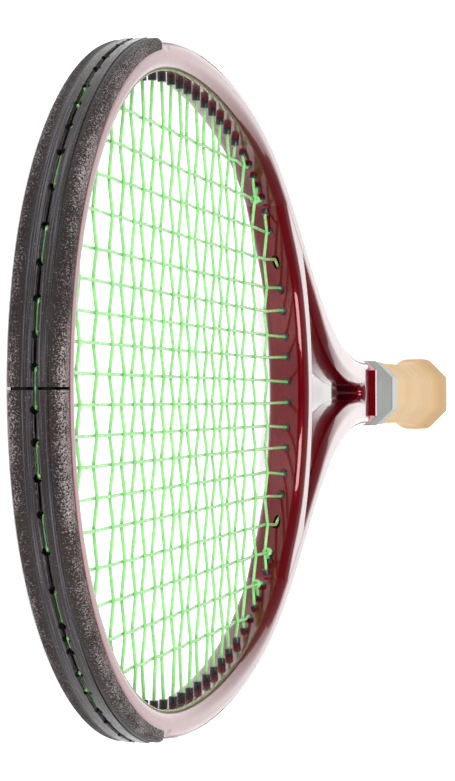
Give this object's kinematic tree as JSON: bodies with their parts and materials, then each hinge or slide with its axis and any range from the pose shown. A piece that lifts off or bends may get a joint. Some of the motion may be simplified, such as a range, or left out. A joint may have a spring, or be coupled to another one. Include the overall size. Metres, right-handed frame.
{
  "type": "tennis racket",
  "caption": "Adult tennis racket with a hairpin tube frame, open throat, woven string bed, bumper guard and a leather-wrapped octagonal handle.",
  "frame": {"origin": "centre of the racket's footprint, on the surface that it lies on with the butt's lower facet", "axes": "+X from the tip to the butt along the long axis, +Y across the head, +Z square to the string plane"},
  "size_m": [0.6858, 0.2544, 0.039],
  "materials": {
    "lacquer": "dark red metallic lacquer on a composite tube",
    "bumper": "scuffed moulded nylon",
    "grommet": "moulded nylon",
    "string": "smooth coated monofilament",
    "collar_rubber": "matt grey rubber",
    "tape": "satin vinyl tape",
    "leather": "tan calf leather",
    "pallet_foam": "hard moulded polyurethane foam",
    "cap_plastic": "moulded nylon",
    "steel": "galvanised wire"
  },
  "bodies": {
    "racket": {"frame_tube": "lacquer", "throat_bridge": "lacquer", "bumper_guard_left": "bumper", "bumper_guard_right": "bumper", "side_grommet_strip_left": "grommet", "side_grommet_strip_right": "grommet", "throat_grommet_strip": "grommet", "main_string": "string", "cross_string": "string", "tie_off_knots": "string", "rubber_collar": "collar_rubber", "finishing_tape": "tape", "leather_grip": "leather", "handle_pallet_top": "pallet_foam", "handle_pallet_bottom": "pallet_foam", "butt_cap": "cap_plastic", "butt_cap_staples": "steel", "grip_tack": "steel"},
    "trapdoor": {"butt_cap_trapdoor": "cap_plastic"}
  },
  "joints": [
    {"name": "trapdoor_slide", "type": "slide", "parent": "racket", "child": "trapdoor", "axis": [1, 0, 0], "range_m": [0, 0.012]}
  ]
}
